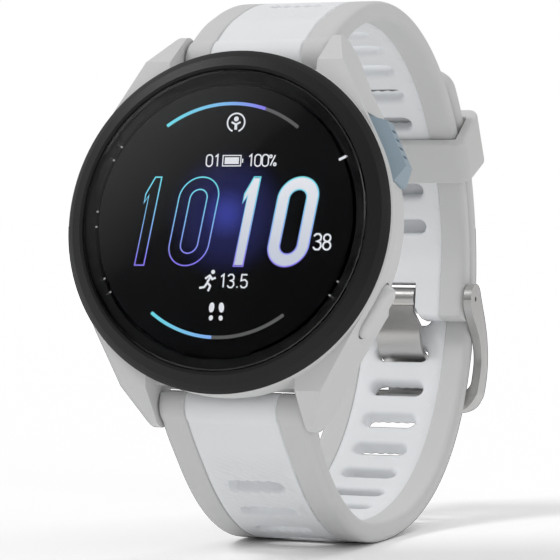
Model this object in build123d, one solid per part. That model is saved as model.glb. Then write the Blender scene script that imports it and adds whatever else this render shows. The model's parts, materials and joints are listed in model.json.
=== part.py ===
from build123d import *
from math import acos, atan2, cos, degrees, hypot, radians, sin
import os

# Running watch standing on its closed strap loop. Millimetres.
# X points to three o'clock, Y points away from the display, Z is up.
# The origin is at the middle of the bounding box, on the surface it stands on.

# ---------------------------------------------------------------- driving dimensions
CASE_DIAMETER = 43.0
CASE_RADIUS = CASE_DIAMETER / 2
DISPLAY_LEAN = 10.75          # the display leans back by this angle, degrees
BAND_WIDTH = 19.6
BAND_HALF = BAND_WIDTH / 2
CORE_HALF = 6.2               # the pale core runs between the two border rails
BAND_THICK = 2.6
LOOP_RADIUS = 34.3            # middle of the band's thickness, single layer
TAIL_RADIUS = 37.25           # middle of the band's thickness where it lies on the outside
LOOP_Y = -1.6
LOOP_Z = LOOP_RADIUS + BAND_THICK / 2
CASE_Y = LOOP_Y - 31.0        # middle of the bezel's widest circle
CASE_Z = LOOP_Z + 7.0

# Depths below are along the display's normal, from the bezel's widest circle.
LENS_TOP = 1.5
LENS_RADIUS = 18.75
LENS_THICK = 1.1
BEZEL_BOTTOM = -0.35
WALL_RADIUS = 19.3
LUG_ROOT = 19.4               # the lugs start inside the wall, which is 19.6 at the back
FLANGE_TOP = -6.4
FLANGE_BOTTOM = -7.35
CASE_BOTTOM = -8.6
SENSOR_BOTTOM = -10.1
BOARD_TOP = -5.2
BOARD_BOTTOM = -5.8
SWITCH_TOP = -3.1
CONTACT_U = -14.9             # the row of charging contacts, below the sensor
CONTACT_TIP = -8.25
CONTACT_RADIUS = 0.38

# Spring bars and lugs, in the case's own axes (across, towards twelve, along the normal).
BAR_OUT = 22.4
BAR_DEPTH = -7.4
BAR_RADIUS = 0.75
TIP_RADIUS = 0.4
LUG_GAP_HALF = 9.95
LUG_TIP_RADIUS = 2.6
LUG_TIP_X = 10.9              # the lugs taper to a point this far across
TUBE_RADIUS = 2.1             # the band's end that holds the bar
LEVER_X = 5.6
HEAD_INNER = -7.6             # where the fixed tip's head ends inside the barrel
ROD_END = 4.6                 # where the sliding tip's rod ends inside the barrel
RELEASE_TRAVEL = 1.0
COIL_RADIUS = 0.3
COIL_WIRE = 0.1
COIL_TURNS = 20
LOWER_TIP_GAP = 0.1           # the lower bar's tips stop this far short of the lugs
TIP_REACH = 0.9               # how far the upper bar's tips go into the lugs

# Slots
SLOT_PITCH = 5.5
SLOT_HALF = 3.8
SLOT_WIDE = 2.1
SHORT_END = -13.2             # angle where the short strap ends, degrees
TAIL_TIP = 46.5
FIRST_LONG_SLOT = 231.5
FIRST_SHORT_SLOT = 9.5
LONG_SLOTS = 19
SHORT_SLOTS = 11

# Buckle
PIN_ANGLE = -8.0
PIN_RADIUS_FROM_LOOP = 34.0
PIN_RADIUS = 0.6
RUN_CLEAR = 0.05

# Keeper
KEEPER_MIDDLE = 27.5
KEEPER_SPAN = 11.5            # degrees of the loop that it covers
KEEPER_WALL = 2.2             # outside the tail
KEEPER_SIDE = 1.5
KEEPER_INSIDE = 1.3           # on the wrist side
KEEPER_CLEAR = 0.25

# Buttons: angle round the case from three o'clock, degrees
BUTTON_ANGLES = {"start": 27.0, "back": -29.0, "light": 151.0, "up": 180.0, "down": 209.0}
BUTTON_DEPTH = -4.3
STEM_RADIUS = 1.0
CAP_BASE = 20.5
STEM_INNER = 17.3             # the stem's inner end, 0.45 short of the switch's dome

# The case's own frame: local X across, local Y towards twelve, local Z out of the display.
LEAN = radians(DISPLAY_LEAN)
CASE_PLANE = Plane(
    origin=(0, CASE_Y, CASE_Z),
    x_dir=(1, 0, 0),
    z_dir=(0, -cos(LEAN), sin(LEAN)),
)


# ---------------------------------------------------------------- helpers
def placed(shape):
    """Moves a shape from the case's own frame into the row frame."""
    return shape.moved(CASE_PLANE.location)


def ease(value):
    value = min(1.0, max(0.0, value))
    return value * value * (3 - 2 * value)


def loop_point(angle, radius):
    """A point of the loop's mid-plane at an angle, as (y, z)."""
    turn = radians(angle)
    return LOOP_Y + radius * cos(turn), LOOP_Z + radius * sin(turn)


def bar_point(side):
    """A spring bar's axis as (y, z); side is 1 for the upper bar and -1 for the lower."""
    point = CASE_PLANE.from_local_coords(Vector(0, side * BAR_OUT, BAR_DEPTH))
    return point.Y, point.Z


def polar(side):
    y, z = bar_point(side)
    angle = degrees(atan2(z - LOOP_Z, y - LOOP_Y)) % 360
    return angle, hypot(y - LOOP_Y, z - LOOP_Z)


UPPER_BAR_ANGLE, UPPER_BAR_LOOP_RADIUS = polar(1)
LOWER_BAR_ANGLE, LOWER_BAR_LOOP_RADIUS = polar(-1)


def long_radius(angle):
    """Middle of the long strap, from the lower bar round the outside of the short strap."""
    at_lug = LOWER_BAR_LOOP_RADIUS + (LOOP_RADIUS - LOWER_BAR_LOOP_RADIUS) * ease(
        (angle - LOWER_BAR_ANGLE) / 52
    )
    return at_lug + (TAIL_RADIUS - LOOP_RADIUS) * ease((angle - 268) / 62)


def short_radius(angle):
    drop = LOOP_RADIUS - UPPER_BAR_LOOP_RADIUS
    return LOOP_RADIUS - drop * ease((angle - UPPER_BAR_ANGLE + 12) / 12)


def lug_taper(angle, bar_angle):
    """Extra half thickness near the end that holds the spring bar."""
    away = abs(angle - bar_angle)
    return 0.55 * (1 - ease(away / 16))


def pin_thickening(angle):
    """The short strap is thicker on the wrist side where the buckle pin goes through."""
    return 0.55 * ease((4 - angle) / 8)


def prism(face, half_width):
    return extrude(face, half_width, both=True)


def yz_face(edges):
    return make_face([Plane.YZ * edge for edge in edges])


def band_face(radius_at, first, last, steps, outside, inside):
    """The side view of a band: two splines through evenly spaced angles."""
    angles = [first + (last - first) * i / steps for i in range(steps + 1)]
    outer = [loop_point(a, radius_at(a) + outside(a)) for a in angles]
    inner = [loop_point(a, radius_at(a) - inside(a)) for a in angles]
    edges = [
        Spline(*outer),
        Spline(*inner),
        Line(outer[0], inner[0]),
        Line(outer[-1], inner[-1]),
    ]
    return yz_face(edges)


def radial_plane(angle, radius):
    """A plane on the band: local X across the wrist, local Z away from the loop's centre."""
    y, z = loop_point(angle, radius)
    turn = radians(angle)
    return Plane(origin=(0, y, z), x_dir=(1, 0, 0), z_dir=(0, cos(turn), sin(turn)))


def slot_cutter(angle, radius, width=SLOT_WIDE):
    plane = radial_plane(angle, radius)
    cutter = extrude(plane * SlotOverall(2 * SLOT_HALF, width), 3, both=True)
    return cutter


def spaced_angles(radius_at, first, count, step_sign):
    """Angles of the slots, evenly spaced along the middle of the band."""
    angles = [first]
    while len(angles) < count:
        last = angles[-1]
        step = degrees(SLOT_PITCH / radius_at(last))
        angles.append(last + step_sign * step)
    return angles


LONG_SLOT_ANGLES = spaced_angles(long_radius, FIRST_LONG_SLOT, LONG_SLOTS, 1)
SHORT_SLOT_ANGLES = spaced_angles(short_radius, FIRST_SHORT_SLOT, SHORT_SLOTS, 1)


def cylinder_x(y, z, radius, x_from, x_to):
    """A round bar along X."""
    plane = Plane(origin=(x_from, y, z), x_dir=(0, 1, 0), z_dir=(1, 0, 0))
    return extrude(plane * Circle(radius), x_to - x_from)


def disc(radius, low, high):
    """A disc in the case's own frame."""
    return Pos(0, 0, low) * extrude(Circle(radius), high - low)


def ring(outer, inner, low, high):
    return Pos(0, 0, low) * extrude(Circle(outer) - Circle(inner), high - low)


def block(width, length, low, high, x=0.0, y=0.0, corner=0.0):
    face = RectangleRounded(width, length, corner) if corner else Rectangle(width, length)
    return Pos(x, y, low) * extrude(face, high - low)


def turned(points):
    """Revolves a closed outline of (radius, height) points about the case's normal."""
    outline = Polyline(*points, close=True)
    return revolve(make_face(Plane.XZ * outline), Axis.Z)


# ---------------------------------------------------------------- case
def lug_outline():
    """Front view of the case with its lugs: tangents from each lug tip to the round case."""
    top_u = BAR_OUT + LUG_TIP_RADIUS
    reach = hypot(LUG_TIP_X, top_u)
    touch = atan2(top_u, LUG_TIP_X) - acos(CASE_RADIUS / reach)
    side_x = CASE_RADIUS * cos(touch)
    side_u = CASE_RADIUS * sin(touch)
    right = [(side_x, side_u), (LUG_TIP_X, top_u)]
    left = [(-x, u) for x, u in reversed(right)]
    upper = right + left
    lower = [(x, -u) for x, u in reversed(upper)]
    return make_face(Polyline(*upper, *lower, close=True))


def lug_side():
    """Side view of the lugs: from under the bezel down to the round end about the bar."""
    def half(side):
        tip = Plane.YZ * Pos(side * BAR_OUT, BAR_DEPTH) * Circle(LUG_TIP_RADIUS)
        front = (side * (BAR_OUT + 1.75), BAR_DEPTH + 1.92)
        back = (side * (BAR_OUT + 0.3), BAR_DEPTH - 2.58)
        outline = Polyline(
            (0, -0.8), (side * 14.0, -0.8), (side * 20.6, -1.6), front,
            (side * BAR_OUT, BAR_DEPTH), back, (side * 17.5, CASE_BOTTOM), (0, CASE_BOTTOM),
            close=True,
        )
        return make_face(Plane.YZ * outline) + tip

    return half(1) + half(-1)


def case_body():
    shell = turned([
        (WALL_RADIUS, BEZEL_BOTTOM), (CASE_RADIUS - 0.25, BEZEL_BOTTOM), (CASE_RADIUS, -0.8),
        (CASE_RADIUS, -2.4), (CASE_RADIUS - 0.5, -6.3), (CASE_RADIUS - 1.9, CASE_BOTTOM),
        (18.4, CASE_BOTTOM), (18.4, FLANGE_BOTTOM), (14.6, FLANGE_BOTTOM),
        (14.6, FLANGE_TOP), (WALL_RADIUS, FLANGE_TOP),
    ])
    lugs = extrude(lug_side(), 30, both=True)
    lugs = lugs & (Pos(0, 0, -14) * extrude(lug_outline(), 14))
    lugs -= Pos(0, 0, -15) * extrude(Circle(LUG_ROOT), 16)
    body = shell + lugs
    for side in (1, -1):
        pocket = Pos(0, side * (19.95 + 5), -6.2 - 4) * Box(2 * LUG_GAP_HALF, 10, 8 + 4)
        lip = Pos(0, side * (17 + 5), -2.2) * Box(2 * LUG_GAP_HALF, 10, 4.4)
        lip -= disc(CASE_RADIUS, -5, 1)
        body -= pocket
        body -= lip
    for side in (1, -1):
        for end in (1, -1):
            hole = Pos(end * (LUG_GAP_HALF + 0.65), side * BAR_OUT, BAR_DEPTH)
            body -= hole * Rot(0, 90, 0) * Cylinder(TIP_RADIUS + RUN_CLEAR, 1.4)
    for name, angle in BUTTON_ANGLES.items():
        stem = Rot(0, 0, angle) * Pos(20, 0, BUTTON_DEPTH) * Rot(0, 90, 0)
        body -= stem * Cylinder(STEM_RADIUS + RUN_CLEAR, 6)
        body -= Rot(0, 0, angle) * button_recess(name)
    for x, y in screw_places():
        body -= Pos(x, y, (FLANGE_TOP + FLANGE_BOTTOM) / 2) * Cylinder(0.5, 2)
    for x in contact_places():
        hole = Pos(x, CONTACT_U, (FLANGE_TOP + FLANGE_BOTTOM) / 2)
        body -= hole * Cylinder(CONTACT_RADIUS + 0.08, 2)
    return body


def bezel():
    shelf = LENS_TOP - LENS_THICK - 0.2
    return turned([
        (17.3, BEZEL_BOTTOM), (CASE_RADIUS - 0.1, BEZEL_BOTTOM), (CASE_RADIUS, -0.05),
        (CASE_RADIUS - 0.35, 0.3), (20.6, 0.75), (19.35, 1.38), (19.0, 1.38),
        (LENS_RADIUS + 0.1, 1.2), (LENS_RADIUS + 0.1, shelf), (17.3, shelf),
    ])


def lens():
    plate = disc(LENS_RADIUS, LENS_TOP - LENS_THICK, LENS_TOP)
    return chamfer(plate.edges().sort_by(Axis.Z)[-1], 0.15)


def lens_gasket():
    top = LENS_TOP - LENS_THICK
    return ring(LENS_RADIUS - 0.2, 17.4, top - 0.2, top)


def display_module():
    panel = disc(16.9, -0.7, LENS_TOP - LENS_THICK - 0.02)
    tab = block(9, 3.0, -0.7, -0.4, y=-15.6)
    return panel + tab


def inner_chassis():
    plate = disc(18.9, -2.2, -0.75) - disc(17.2, -1.7, -0.7)
    well = block(25.4, 21.4, -3, 0, corner=2.0)
    posts = [
        Rot(0, 0, angle) * Pos(17.9, 0, -3.6) * Cylinder(0.8, 2.8)
        for angle in (65, 115, 245, 295)
    ]
    frame = plate - well
    for post in posts:
        frame += post
    return frame


def antenna_ring():
    band = ring(19.2, 18.95, -3.0, -0.45)
    feed = Rot(0, 0, 90) * Pos(19.05, 0, -1.7) * Box(1.2, 0.8, 3.2)
    return band - feed


def battery():
    return block(24.6, 20.6, -4.85, -1.95, corner=1.6)


def battery_lead():
    strip = block(3.0, 1.4, -2.4, -2.2, x=-5, y=-11.0)
    drop = block(3.0, 0.2, -5.2, -2.2, x=-5, y=-11.6)
    return strip + drop


def main_board():
    board = disc(17.9, BOARD_BOTTOM, BOARD_TOP)
    for angle in BUTTON_ANGLES.values():
        board -= Rot(0, 0, angle) * Pos(18.0, 0, -5.5) * Box(3.0, 5.4, 2)
    return board


def shield_cans():
    first = block(9.0, 8.0, -6.6, -5.8, x=-6.0, y=4.5, corner=0.6)
    second = block(7.0, 6.5, -6.6, -5.8, x=4.5, y=6.0, corner=0.6)
    third = block(8.0, 4.5, -6.6, -5.8, x=-0.6, y=-2.2, corner=0.6)
    return Compound(children=[first, second, third])


def chips():
    spots = [(-10.5, -3.5, 2.6), (9.6, 1.5, 3.0), (11.2, -2.6, 2.0), (-2.6, -8.8, 2.4)]
    parts = [block(size, size, -6.4, -5.8, x=x, y=y) for x, y, size in spots]
    return Compound(children=parts)


def vibration_motor():
    return Pos(6.8, -7.8, -6.75) * extrude(Circle(3.6), 0.95)


def beeper():
    return Pos(-8.6, -7.8, -6.75) * extrude(Circle(2.6), 0.95)


def barometer():
    return Pos(0.0, 12.4, -6.75) * extrude(Circle(1.3), 0.95)


def tact_switches():
    parts = []
    for angle in BUTTON_ANGLES.values():
        base = block(0.9, 4.0, BOARD_TOP, SWITCH_TOP, x=16.25)
        parts.append(Rot(0, 0, angle) * base)
    return Compound(children=parts)


def switch_domes():
    parts = []
    for angle in BUTTON_ANGLES.values():
        dome = Pos(16.7, 0, BUTTON_DEPTH) * Rot(0, 90, 0) * extrude(Circle(0.9), 0.15)
        parts.append(Rot(0, 0, angle) * dome)
    return Compound(children=parts)


# ---------------------------------------------------------------- rear cover and sensor
def screw_places():
    return [
        (16.4 * cos(radians(angle)), 16.4 * sin(radians(angle)))
        for angle in (45, 135, 225, 315)
    ]


def rear_cover():
    cover = disc(18.3, CASE_BOTTOM, FLANGE_BOTTOM)
    boss = loft([
        Pos(0, 0, CASE_BOTTOM) * Circle(13.0),
        Pos(0, 0, SENSOR_BOTTOM + 0.5) * Circle(10.6),
    ])
    cover += boss
    cover -= disc(9.6, -9.2, FLANGE_BOTTOM + 0.1)
    cover -= disc(8.0, SENSOR_BOTTOM, -9.0)
    cover -= ring(17.9, 17.2, FLANGE_BOTTOM - 0.4, FLANGE_BOTTOM)
    for x, y in screw_places():
        cover -= Pos(x, y, -8) * Cylinder(0.62, 3)
        cover -= Pos(x, y, CASE_BOTTOM) * Cylinder(1.35, 1.0)
    port = Pos(0, CONTACT_U, CASE_BOTTOM + 0.3) * Box(6.4, 2.6, 0.6)
    cover -= port
    for x in contact_places():
        cover -= Pos(x, CONTACT_U, -8) * Cylinder(CONTACT_RADIUS + 0.02, 3)
    return cover


def rear_seal():
    return ring(17.88, 17.22, FLANGE_BOTTOM - 0.38, FLANGE_BOTTOM)


def rear_screws():
    parts = []
    for x, y in screw_places():
        head = Pos(x, y, CASE_BOTTOM + 0.1) * extrude(Circle(1.2), 0.4)
        shank = Pos(x, y, CASE_BOTTOM + 0.5) * extrude(Circle(0.5), 1.5)
        slot = Pos(x, y, CASE_BOTTOM + 0.1) * extrude(RegularPolygon(0.55, 6), 0.25)
        parts.append(head + shank - slot)
    return Compound(children=parts)


def contact_places():
    return [-2.4, -0.8, 0.8, 2.4]


def charge_contacts():
    """Pins from the port through the case's flange to just under the board."""
    length = BOARD_BOTTOM - 0.02 - CONTACT_TIP
    pin = extrude(Circle(CONTACT_RADIUS), length)
    parts = [Pos(x, CONTACT_U, CONTACT_TIP) * pin for x in contact_places()]
    return Compound(children=parts)


def sensor_window():
    flange = disc(9.5, -9.2, -8.95)
    dome = Pos(0, 0, SENSOR_BOTTOM) * extrude(Circle(7.95), 0.9)
    dome = chamfer(dome.edges().sort_by(Axis.Z)[0], 0.3)
    return flange + dome


def sensor_board():
    return disc(8.6, -8.4, -7.9)


def sensor_leds():
    parts = []
    for i in range(3):
        spot = Rot(0, 0, 90 + 120 * i) * Pos(4.6, 0, -8.75)
        parts.append(spot * extrude(Rectangle(1.6, 1.6), 0.35))
    return Compound(children=parts)


def photodiodes():
    parts = []
    for i in range(3):
        spot = Rot(0, 0, 30 + 120 * i) * Pos(4.2, 0, -8.75)
        parts.append(spot * extrude(Rectangle(2.4, 2.4), 0.35))
    return Compound(children=parts)


def sensor_baffle():
    """Light barrier between the lamps and the photodiodes."""
    frame = disc(7.4, -8.92, -8.42)
    for i in range(6):
        frame -= Rot(0, 0, 30 + 60 * i) * Pos(4.4, 0, -8.7) * Box(3.0, 3.0, 1.0)
    return frame


# ---------------------------------------------------------------- buttons
def is_wedge(name):
    return name == "start"


def round_cap_face(grow=0.0):
    return SlotOverall(7.2 + 2 * grow, 3.5 + 2 * grow)


def button_recess(name):
    """Clear space in the case wall for the cap to travel in."""
    face = Rectangle(9.6, 5.0) if is_wedge(name) else round_cap_face(0.2)
    plane = Plane(origin=(19.95, 0, BUTTON_DEPTH), x_dir=(0, 1, 0), z_dir=(1, 0, 0))
    return extrude(plane * face, 4)


def button(name):
    """Cap and stem in one piece; the stem reaches in to the switch."""
    if is_wedge(name):
        plane = Plane(origin=(CAP_BASE, 0, BUTTON_DEPTH), x_dir=(0, 1, 0), z_dir=(1, 0, 0))
        low = plane.offset(0.5) * Rectangle(9.3, 4.7)
        high = plane.offset(2.35) * Pos(0, -0.2) * Rectangle(6.4, 2.2)
        cap = loft([low, high]) + extrude(plane * Rectangle(9.3, 4.7), 0.5)
        for i in range(4):
            mark = Pos(22.85, -1.8 + 1.2 * i, BUTTON_DEPTH - 0.2) * Box(0.5, 0.35, 1.3)
            cap -= mark
    else:
        plane = Plane(origin=(CAP_BASE, 0, BUTTON_DEPTH), x_dir=(0, 1, 0), z_dir=(1, 0, 0))
        cap = extrude(plane * round_cap_face(), 1.75)
        cap = fillet(cap.faces().sort_by(Axis.X)[-1].edges(), 0.55)
    length = CAP_BASE + 0.1 - STEM_INNER
    stem = Pos(STEM_INNER, 0, BUTTON_DEPTH) * Rot(0, 90, 0) * extrude(Circle(STEM_RADIUS), length)
    seal_groove = Pos(19.7, 0, BUTTON_DEPTH) * Rot(0, 90, 0)
    seal_groove = seal_groove * extrude(Circle(1.2) - Circle(0.72), 0.5)
    clip_groove = Pos(18.4, 0, BUTTON_DEPTH) * Rot(0, 90, 0)
    clip_groove = clip_groove * extrude(Circle(1.2) - Circle(0.7), 0.3)
    return Rot(0, 0, BUTTON_ANGLES[name]) * (cap + stem - seal_groove - clip_groove)


def button_seal(name):
    seal = Pos(19.7, 0, BUTTON_DEPTH) * Rot(0, 90, 0) * extrude(Circle(1.03) - Circle(0.74), 0.5)
    return Rot(0, 0, BUTTON_ANGLES[name]) * seal


def button_clip(name):
    clip = extrude(Circle(1.6) - Circle(0.72), 0.28)
    clip -= Pos(0, 1.2) * extrude(Rectangle(0.9, 2.4), 0.28)
    clip = Pos(18.41, 0, BUTTON_DEPTH) * Rot(0, 90, 0) * clip
    return Rot(0, 0, BUTTON_ANGLES[name]) * clip


# ---------------------------------------------------------------- straps
def long_face():
    def half(angle):
        return BAND_THICK / 2 + lug_taper(angle, LOWER_BAR_ANGLE)

    return band_face(long_radius, LOWER_BAR_ANGLE + 1.5, 360 + TAIL_TIP, 40, half, half)


def short_face():
    def outside(angle):
        return BAND_THICK / 2 + lug_taper(angle, UPPER_BAR_ANGLE)

    def inside(angle):
        return outside(angle) + pin_thickening(angle)

    return band_face(short_radius, SHORT_END, UPPER_BAR_ANGLE - 1.5, 28, outside, inside)


def end_tube(side):
    """The round end that holds the spring bar."""
    y, z = bar_point(side)
    return cylinder_x(y, z, TUBE_RADIUS, -BAND_HALF, BAND_HALF)


def end_bore(side):
    """The spring bar's bore, with the opening for its release lever."""
    y, z = bar_point(side)
    bore = cylinder_x(y, z, BAR_RADIUS + RUN_CLEAR, -BAND_HALF - 1, BAND_HALF + 1)
    slot = Pos(LEVER_X + 0.6, y, z) * lever_turn(side) * Pos(0, 0, 1.8) * Box(2.6, 1.2, 3.6)
    return bore + slot


def lever_turn(side):
    """The release lever points to the inside of the loop."""
    y, z = bar_point(side)
    angle = degrees(atan2(LOOP_Z - z, LOOP_Y - y))
    return Rot(angle - 90, 0, 0)


def long_strap():
    whole = prism(long_face(), BAND_HALF) + end_tube(-1)
    whole -= end_bore(-1)
    return whole


def short_strap():
    whole = prism(short_face(), BAND_HALF) + end_tube(1)
    whole -= end_bore(1)
    return whole


def sector(first, last, low, high):
    """A wedge of the loop between two angles, for splitting core from border."""
    steps = 24
    angles = [first + (last - first) * i / steps for i in range(steps + 1)]
    outer = [loop_point(a, high) for a in angles]
    inner = [loop_point(a, low) for a in reversed(angles)]
    return yz_face([Polyline(*outer, *inner, close=True)])


def split_strap(strap, first, last, slot_angles, radius_at):
    """Cuts the pale core out of a strap and puts the slots through it."""
    wedge = prism(sector(first, last, 20, 46), CORE_HALF)
    core = strap & wedge
    border = strap - wedge
    for angle in slot_angles:
        core -= slot_cutter(angle, radius_at(angle))
    return core, border


def long_parts():
    strap = long_strap()
    first = LOWER_BAR_ANGLE + 5
    last = 360 + TAIL_TIP - 5
    return split_strap(strap, first, last, LONG_SLOT_ANGLES, long_radius)


def notch_outline(neck_half, mouth_half):
    """Plan of the gap for the tongue, straight at the pin and flaring at the strap's end."""
    top = -2.1
    return Polyline(
        (-neck_half, top), (neck_half, top), (neck_half, 1.4), (mouth_half, 3.6),
        (mouth_half, 7.0), (-mouth_half, 7.0), (-mouth_half, 3.6), (-neck_half, 1.4),
        close=True,
    )


def short_parts():
    strap = short_strap()
    first = SHORT_END - 2
    last = UPPER_BAR_ANGLE - 5
    core, border = split_strap(strap, first, last, SHORT_SLOT_ANGLES, short_radius)
    notch = extrude(radial_plane(PIN_ANGLE, LOOP_RADIUS) * make_face(notch_outline(2.55, 4.0)), 5, both=True)
    y, z = loop_point(PIN_ANGLE, PIN_RADIUS_FROM_LOOP)
    bore = cylinder_x(y, z, PIN_RADIUS + RUN_CLEAR, -BAND_HALF - 1, BAND_HALF + 1)
    return core - notch - bore, border - bore


# ---------------------------------------------------------------- spring bars
def bar_barrel(side):
    """Tube with closed ends but for the tips' holes, and a slot for the lever."""
    y, z = bar_point(side)
    barrel = cylinder_x(y, z, BAR_RADIUS, -9.5, 9.5)
    barrel -= cylinder_x(y, z, 0.52, -9.1, 9.1)
    barrel -= cylinder_x(y, z, TIP_RADIUS + RUN_CLEAR, -9.6, 9.6)
    barrel -= Pos(LEVER_X + 0.6, y, z) * lever_turn(side) * Pos(0, 0, 0.8) * Box(2.4, 0.9, 1.6)
    return barrel


def fixed_tip(side):
    """The tip that doesn't slide; the lower one stops just short of its lug."""
    y, z = bar_point(side)
    reach = LUG_GAP_HALF + (TIP_REACH if side > 0 else -LOWER_TIP_GAP)
    head = cylinder_x(y, z, 0.5, -9.0, HEAD_INNER)
    return head + cylinder_x(y, z, TIP_RADIUS, -reach, -8.8)


def release_lever(side):
    """Sliding tip with the peg that a fingernail pulls."""
    y, z = bar_point(side)
    reach = LUG_GAP_HALF + (TIP_REACH if side > 0 else -LOWER_TIP_GAP)
    tip = cylinder_x(y, z, TIP_RADIUS, 8.2, reach)
    rod = cylinder_x(y, z, 0.46, ROD_END, 8.95)
    peg = Pos(LEVER_X + 1.0, y, z) * lever_turn(side) * Pos(0, 0, 1.5) * Cylinder(0.36, 3.0)
    return tip + rod + peg


def bar_spring(side):
    """Coil between the fixed tip's head and the rod, as long as it is with the lever pulled."""
    y, z = bar_point(side)
    margin = COIL_WIRE + RUN_CLEAR
    length = ROD_END - RELEASE_TRAVEL - HEAD_INNER - 2 * margin
    wire = Helix(pitch=length / COIL_TURNS, height=length, radius=COIL_RADIUS)
    section = Plane(origin=wire @ 0, z_dir=wire % 0) * Circle(COIL_WIRE)
    coil = sweep(section, path=wire)
    return Pos(HEAD_INNER + margin, y, z) * Rot(0, 90, 0) * coil


# ---------------------------------------------------------------- buckle
PIN_Y, PIN_Z = loop_point(PIN_ANGLE, PIN_RADIUS_FROM_LOOP)
BUCKLE_OUTER = 11.1
BUCKLE_INNER = 9.95
BAR_NEAR = 10.5               # the far bar, measured along the band from 12 degrees below level
BAR_FAR = 13.3
TONGUE_SEAT = 41.3            # bottom of the notch in the far bar where the tongue rests
TONGUE_HALF = 3.3


def buckle_pin():
    pin = cylinder_x(PIN_Y, PIN_Z, PIN_RADIUS, -10.7, 10.7)
    return pin


def arm_face():
    """Side view of the buckle frame: round about the pin, then swept outwards."""
    back = [(36.2, -6.6), (37.6, -9.6), (39.4, -13.0), (40.9, -16.6), (41.9, -20.6),
            (42.1, -24.4), (41.7, -28.0)]
    front = [(31.9, -8.6), (32.6, -11.2), (35.0, -14.2), (37.2, -16.8), (38.8, -20.2),
             (39.1, -24.0), (39.0, -28.0)]
    top = (34.2, -4.4)
    bottom = (40.4, -31.4)
    back_points = [loop_point(angle, radius) for radius, angle in back]
    front_points = [loop_point(angle, radius) for radius, angle in front]
    edges = [
        Spline(*back_points),
        Spline(*front_points),
        ThreePointArc(front_points[0], loop_point(top[1], top[0]), back_points[0]),
        ThreePointArc(front_points[-1], loop_point(bottom[1], bottom[0]), back_points[-1]),
    ]
    return yz_face(edges)


def buckle_frame():
    frame = prism(arm_face(), BUCKLE_OUTER)
    plane = radial_plane(-12.0, LOOP_RADIUS)
    window = Pos(0, BAR_NEAR - 10) * RectangleRounded(2 * BUCKLE_INNER, 20, 1.5)
    frame -= extrude(plane * window, 14, both=True)
    outer = Pos(0, BAR_FAR - 15) * RectangleRounded(2 * BUCKLE_OUTER, 30, 3.0)
    frame = frame & extrude(plane * outer, 20, both=True)
    frame -= prism(sector(-36, -20, TONGUE_SEAT, 46), TONGUE_HALF + 0.35)
    bore = cylinder_x(PIN_Y, PIN_Z, PIN_RADIUS + RUN_CLEAR, -10.75, 10.75)
    sight = cylinder_x(PIN_Y, PIN_Z, 0.35, -12, 12)
    return frame - bore - sight


def tongue_face():
    """Side view of the tongue: round knuckle, plate, step through the slot, rest on the bar."""
    middle = [(32.9, -10.0), (33.1, -12.4), (33.3, -15.0), (33.7, -17.4), (34.9, -19.5),
              (36.4, -20.6), (38.2, -20.9), (39.9, -21.5), (41.2, -23.2), (41.75, -25.6),
              (41.8, -28.0), (41.75, -30.6)]
    points = [Vector(*loop_point(angle, radius)) for radius, angle in middle]
    spine = Spline(*points)
    half = 0.4
    outer = []
    inner = []
    steps = 22
    for i in range(steps + 1):
        spot = spine @ (i / steps)
        along = spine % (i / steps)
        side = Vector(-along.Y, along.X)
        outer.append(spot + side * half)
        inner.append(spot - side * half)
    edges = [Spline(*outer), Spline(*inner), Line(outer[0], inner[0]), Line(outer[-1], inner[-1])]
    return yz_face(edges)


def buckle_tongue():
    plate = prism(tongue_face(), TONGUE_HALF)
    near = Polyline(
        (-2.2, -2), (2.2, -2), (2.2, 2.0), (TONGUE_HALF, 4.0), (TONGUE_HALF, 18),
        (-TONGUE_HALF, 18), (-TONGUE_HALF, 4.0), (-2.2, 2.0),
        close=True,
    )
    plan = extrude(radial_plane(PIN_ANGLE, LOOP_RADIUS) * make_face(near), 12, both=True)
    knuckle = cylinder_x(PIN_Y, PIN_Z, 1.5, -2.2, 2.2)
    plate = (plate & plan) + knuckle
    return plate - cylinder_x(PIN_Y, PIN_Z, PIN_RADIUS + RUN_CLEAR, -3, 3)


# ---------------------------------------------------------------- keeper
def keeper():
    """Band round both layers of the strap, turned about the loop's middle so that it slides."""
    low = LOOP_RADIUS - BAND_THICK / 2 - KEEPER_CLEAR
    high = TAIL_RADIUS + BAND_THICK / 2 + KEEPER_CLEAR
    inner_half = BAND_HALF + KEEPER_CLEAR
    angle = KEEPER_MIDDLE - KEEPER_SPAN / 2
    turn = radians(angle)
    y, z = loop_point(angle, (low + high) / 2)
    plane = Plane(origin=(0, y, z), x_dir=(1, 0, 0), z_dir=(0, -sin(turn), cos(turn)))
    depth = high - low + KEEPER_INSIDE + KEEPER_WALL
    shift = (KEEPER_WALL - KEEPER_INSIDE) / 2
    outside = Pos(0, shift) * RectangleRounded(2 * (inner_half + KEEPER_SIDE), depth, 2.4)
    section = outside - Rectangle(2 * inner_half, high - low)
    axle = Axis((0, LOOP_Y, LOOP_Z), (1, 0, 0))
    return revolve(plane * section, axle, KEEPER_SPAN)


# ---------------------------------------------------------------- writing
def write(name, shape):
    export_step(shape, f"parts/{name}.step")


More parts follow.
